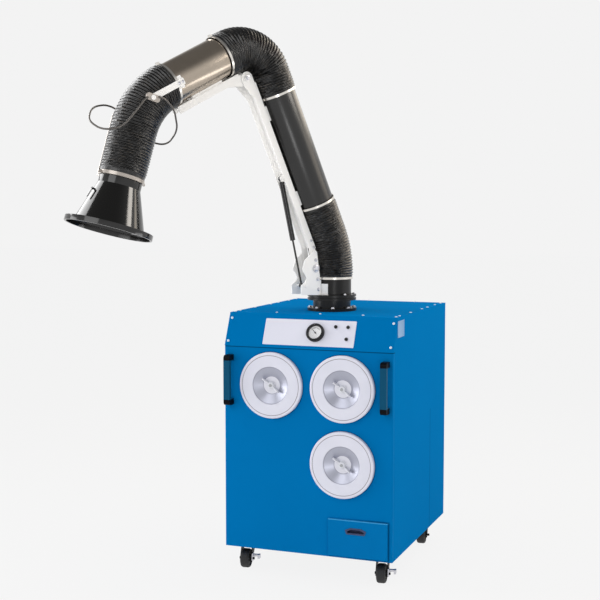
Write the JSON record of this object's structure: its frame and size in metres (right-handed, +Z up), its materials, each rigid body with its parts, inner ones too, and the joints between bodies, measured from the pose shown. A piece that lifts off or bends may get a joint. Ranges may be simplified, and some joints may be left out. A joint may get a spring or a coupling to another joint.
{
  "type": "portable fume extractor",
  "caption": "Wheeled sheet-metal filter cabinet with round filter covers, dust drawer, gauge panel and a balanced jointed extraction arm with ribbed hoses and a hood.",
  "frame": {"origin": "on the floor under the middle of the cabinet's footprint", "axes": "+X to the right seen from the front, +Y to the back, +Z up"},
  "size_m": [1.0983, 1.5375, 2.1825],
  "materials": {
    "cabinet_paint": "blue powder coat, semi-gloss",
    "cover_paint": "pale lavender powder coat",
    "plate_paint": "pale lavender powder coat",
    "black_plastic": "moulded, fine texture",
    "needle_paint": "matt",
    "lens": "clear",
    "inner_steel": "galvanised sheet",
    "filter_media": "pleated cellulose",
    "motor_paint": "painted casting",
    "fan_aluminium": "cast",
    "zinc_steel": "zinc plated",
    "band_steel": "polished",
    "wheel_rubber": "moulded",
    "base_casting": "black, semi-gloss",
    "link_paint": "white powder coat",
    "tube_black": "black gloss",
    "tube_bright": "polished",
    "spring_black": "black gloss",
    "spring_rod": "polished",
    "hose": "coated cloth over a wire helix",
    "carrier_steel": "satin",
    "ring_wire": "black",
    "hood_black": "black gloss"
  },
  "bodies": {
    "cabinet": {"base_pan": "cabinet_paint", "side_panel_left": "cabinet_paint", "side_panel_right": "cabinet_paint", "front_panel": "cabinet_paint", "back_panel": "cabinet_paint", "top_cover": "cabinet_paint", "inner_partitions": "inner_steel", "filter_cartridges": "filter_media", "push_handles": "black_plastic", "control_plate": "plate_paint", "gauge_case": "black_plastic", "gauge_lens": "lens", "fan_housing": "inner_steel", "fan_motor": "motor_paint", "cable_gland": "black_plastic", "caster_plates": "zinc_steel", "swivel_base": "base_casting"},
    "cover_upper_left": {"filter_cover_upper_left": "cover_paint"},
    "knob_upper_left": {"cover_knob_upper_left": "zinc_steel"},
    "cover_upper_right": {"filter_cover_upper_right": "cover_paint"},
    "knob_upper_right": {"cover_knob_upper_right": "zinc_steel"},
    "cover_lower_right": {"filter_cover_lower_right": "cover_paint"},
    "knob_lower_right": {"cover_knob_lower_right": "zinc_steel"},
    "drawer": {"dust_drawer": "cabinet_paint", "drawer_pull": "black_plastic"},
    "button_1": {"push_button_1": "black_plastic"},
    "button_2": {"push_button_2": "black_plastic"},
    "button_3": {"push_button_3": "black_plastic"},
    "needle": {"gauge_needle": "needle_paint"},
    "fan": {"fan_wheel": "fan_aluminium"},
    "fork_front_left": {"caster_fork_front_left": "zinc_steel"},
    "wheel_front_left": {"caster_wheel_front_left": "wheel_rubber"},
    "brake_front_left": {"brake_lever_front_left": "zinc_steel"},
    "fork_front_right": {"caster_fork_front_right": "zinc_steel"},
    "wheel_front_right": {"caster_wheel_front_right": "wheel_rubber"},
    "brake_front_right": {"brake_lever_front_right": "zinc_steel"},
    "fork_rear_left": {"caster_fork_rear_left": "zinc_steel"},
    "wheel_rear_left": {"caster_wheel_rear_left": "wheel_rubber"},
    "fork_rear_right": {"caster_fork_rear_right": "zinc_steel"},
    "wheel_rear_right": {"caster_wheel_rear_right": "wheel_rubber"},
    "swivel": {"swivel_collar": "base_casting", "shoulder_bracket": "link_paint", "base_band": "band_steel", "base_hose": "hose"},
    "lower_arm": {"lower_link": "link_paint", "lower_tube": "tube_black", "lower_bands": "band_steel", "elbow_hose": "hose"},
    "spring_rod": {"gas_rod": "spring_rod"},
    "spring_cylinder": {"gas_cylinder": "spring_black"},
    "upper_arm": {"upper_link": "link_paint", "upper_tube": "tube_bright", "upper_bands": "band_steel", "hood_fork": "link_paint", "hood_hose": "hose"},
    "carrier": {"hood_carrier": "carrier_steel", "handle_ring": "ring_wire"},
    "hood": {"hood_cone": "hood_black"},
    "damper": {"hood_damper": "hood_black"}
  },
  "joints": [
    {"name": "cover_upper_left_pull", "type": "slide", "parent": "cabinet", "child": "cover_upper_left", "axis": [0, -1, 0], "range_m": [0, 0.06]},
    {"name": "knob_upper_left_turn", "type": "hinge", "parent": "cover_upper_left", "child": "knob_upper_left", "pos_m": [-0.15, -0.41, 0.775], "axis": [0, -1, 0], "continuous": true},
    {"name": "cover_upper_right_pull", "type": "slide", "parent": "cabinet", "child": "cover_upper_right", "axis": [0, -1, 0], "range_m": [0, 0.06]},
    {"name": "knob_upper_right_turn", "type": "hinge", "parent": "cover_upper_right", "child": "knob_upper_right", "pos_m": [0.15, -0.41, 0.775], "axis": [0, -1, 0], "continuous": true},
    {"name": "cover_lower_right_pull", "type": "slide", "parent": "cabinet", "child": "cover_lower_right", "axis": [0, -1, 0], "range_m": [0, 0.06]},
    {"name": "knob_lower_right_turn", "type": "hinge", "parent": "cover_lower_right", "child": "knob_lower_right", "pos_m": [0.15, -0.41, 0.475], "axis": [0, -1, 0], "continuous": true},
    {"name": "drawer_slide", "type": "slide", "parent": "cabinet", "child": "drawer", "axis": [0, -1, 0], "range_m": [0, 0.35]},
    {"name": "button_1_press", "type": "slide", "parent": "cabinet", "child": "button_1", "axis": [0, 0.9132, -0.4074], "range_m": [0, 0.003], "stiffness_N_per_m": 600},
    {"name": "button_2_press", "type": "slide", "parent": "cabinet", "child": "button_2", "axis": [0, 0.9132, -0.4074], "range_m": [0, 0.003], "stiffness_N_per_m": 600},
    {"name": "button_3_press", "type": "slide", "parent": "cabinet", "child": "button_3", "axis": [0, 0.9132, -0.4074], "range_m": [0, 0.003], "stiffness_N_per_m": 600},
    {"name": "needle_turn", "type": "hinge", "parent": "cabinet", "child": "needle", "pos_m": [0.0275, -0.38899, 0.99077], "axis": [0, -0.9132, 0.4074], "range_deg": [-90, 0], "stiffness_Nm_per_rad": 0.002},
    {"name": "fan_spin", "type": "hinge", "parent": "cabinet", "child": "fan", "pos_m": [-0.182, 0.09, 0.36], "axis": [0, 1, 0], "continuous": true},
    {"name": "caster_front_left_swivel", "type": "hinge", "parent": "cabinet", "child": "fork_front_left", "pos_m": [-0.292, -0.32, 0.09], "axis": [0, 0, 1], "continuous": true},
    {"name": "wheel_front_left_roll", "type": "hinge", "parent": "fork_front_left", "child": "wheel_front_left", "pos_m": [-0.28834, -0.34978, 0.039], "axis": [0.9925, 0.1219, 0], "continuous": true},
    {"name": "brake_front_left_press", "type": "hinge", "parent": "fork_front_left", "child": "brake_front_left", "pos_m": [-0.28834, -0.34978, 0.039], "axis": [0.9925, 0.1219, 0], "range_deg": [-18, 0]},
    {"name": "caster_front_right_swivel", "type": "hinge", "parent": "cabinet", "child": "fork_front_right", "pos_m": [0.292, -0.32, 0.09], "axis": [0, 0, 1], "continuous": true},
    {"name": "wheel_front_right_roll", "type": "hinge", "parent": "fork_front_right", "child": "wheel_front_right", "pos_m": [0.29566, -0.34978, 0.039], "axis": [0.9925, 0.1219, 0], "continuous": true},
    {"name": "brake_front_right_press", "type": "hinge", "parent": "fork_front_right", "child": "brake_front_right", "pos_m": [0.29566, -0.34978, 0.039], "axis": [0.9925, 0.1219, 0], "range_deg": [-18, 0]},
    {"name": "caster_rear_left_swivel", "type": "hinge", "parent": "cabinet", "child": "fork_rear_left", "pos_m": [-0.292, 0.28, 0.09], "axis": [0, 0, 1], "continuous": true},
    {"name": "wheel_rear_left_roll", "type": "hinge", "parent": "fork_rear_left", "child": "wheel_rear_left", "pos_m": [-0.28834, 0.25022, 0.039], "axis": [0.9925, 0.1219, 0], "continuous": true},
    {"name": "caster_rear_right_swivel", "type": "hinge", "parent": "cabinet", "child": "fork_rear_right", "pos_m": [0.292, 0.28, 0.09], "axis": [0, 0, 1], "continuous": true},
    {"name": "wheel_rear_right_roll", "type": "hinge", "parent": "fork_rear_right", "child": "wheel_rear_right", "pos_m": [0.29566, 0.25022, 0.039], "axis": [0.9925, 0.1219, 0], "continuous": true},
    {"name": "arm_swivel", "type": "hinge", "parent": "cabinet", "child": "swivel", "pos_m": [0, -0.112, 1.11], "axis": [0, 0, 1], "continuous": true},
    {"name": "shoulder", "type": "hinge", "parent": "swivel", "child": "lower_arm", "pos_m": [-0.06049, -0.19839, 1.23569], "axis": [0.8192, -0.5736, 0], "range_deg": [-20, 20], "deforming": ["base_hose"]},
    {"name": "spring_foot", "type": "hinge", "parent": "swivel", "child": "spring_rod", "pos_m": [-0.08776, -0.23733, 1.165], "axis": [0.8192, -0.5736, 0], "range_deg": [-20, 20]},
    {"name": "spring_top", "type": "hinge", "parent": "lower_arm", "child": "spring_cylinder", "pos_m": [-0.14515, -0.3193, 1.59682], "axis": [0.8192, -0.5736, 0], "range_deg": [-4, 4]},
    {"name": "elbow", "type": "hinge", "parent": "lower_arm", "child": "upper_arm", "pos_m": [-0.24642, -0.46393, 1.98412], "axis": [0.8192, -0.5736, 0], "range_deg": [-40, 18], "deforming": ["elbow_hose"]},
    {"name": "hood_tilt", "type": "hinge", "parent": "upper_arm", "child": "carrier", "pos_m": [-0.49959, -0.82548, 1.88341], "axis": [0.8192, -0.5736, 0], "range_deg": [-45, 10], "deforming": ["hood_hose"]},
    {"name": "hood_spin", "type": "hinge", "parent": "carrier", "child": "hood", "pos_m": [-0.54759, -0.89404, 1.59532], "axis": [-0.16, -0.2285, -0.9603], "continuous": true},
    {"name": "damper_turn", "type": "hinge", "parent": "hood", "child": "damper", "pos_m": [-0.55911, -0.9105, 1.52618], "axis": [0.5508, 0.7866, -0.279], "range_deg": [0, 90]}
  ],
  "couplings": [
    {"joint": "spring_foot", "follows": "shoulder", "ratio": 0.8714},
    {"joint": "spring_top", "follows": "shoulder", "ratio": -0.1286}
  ]
}
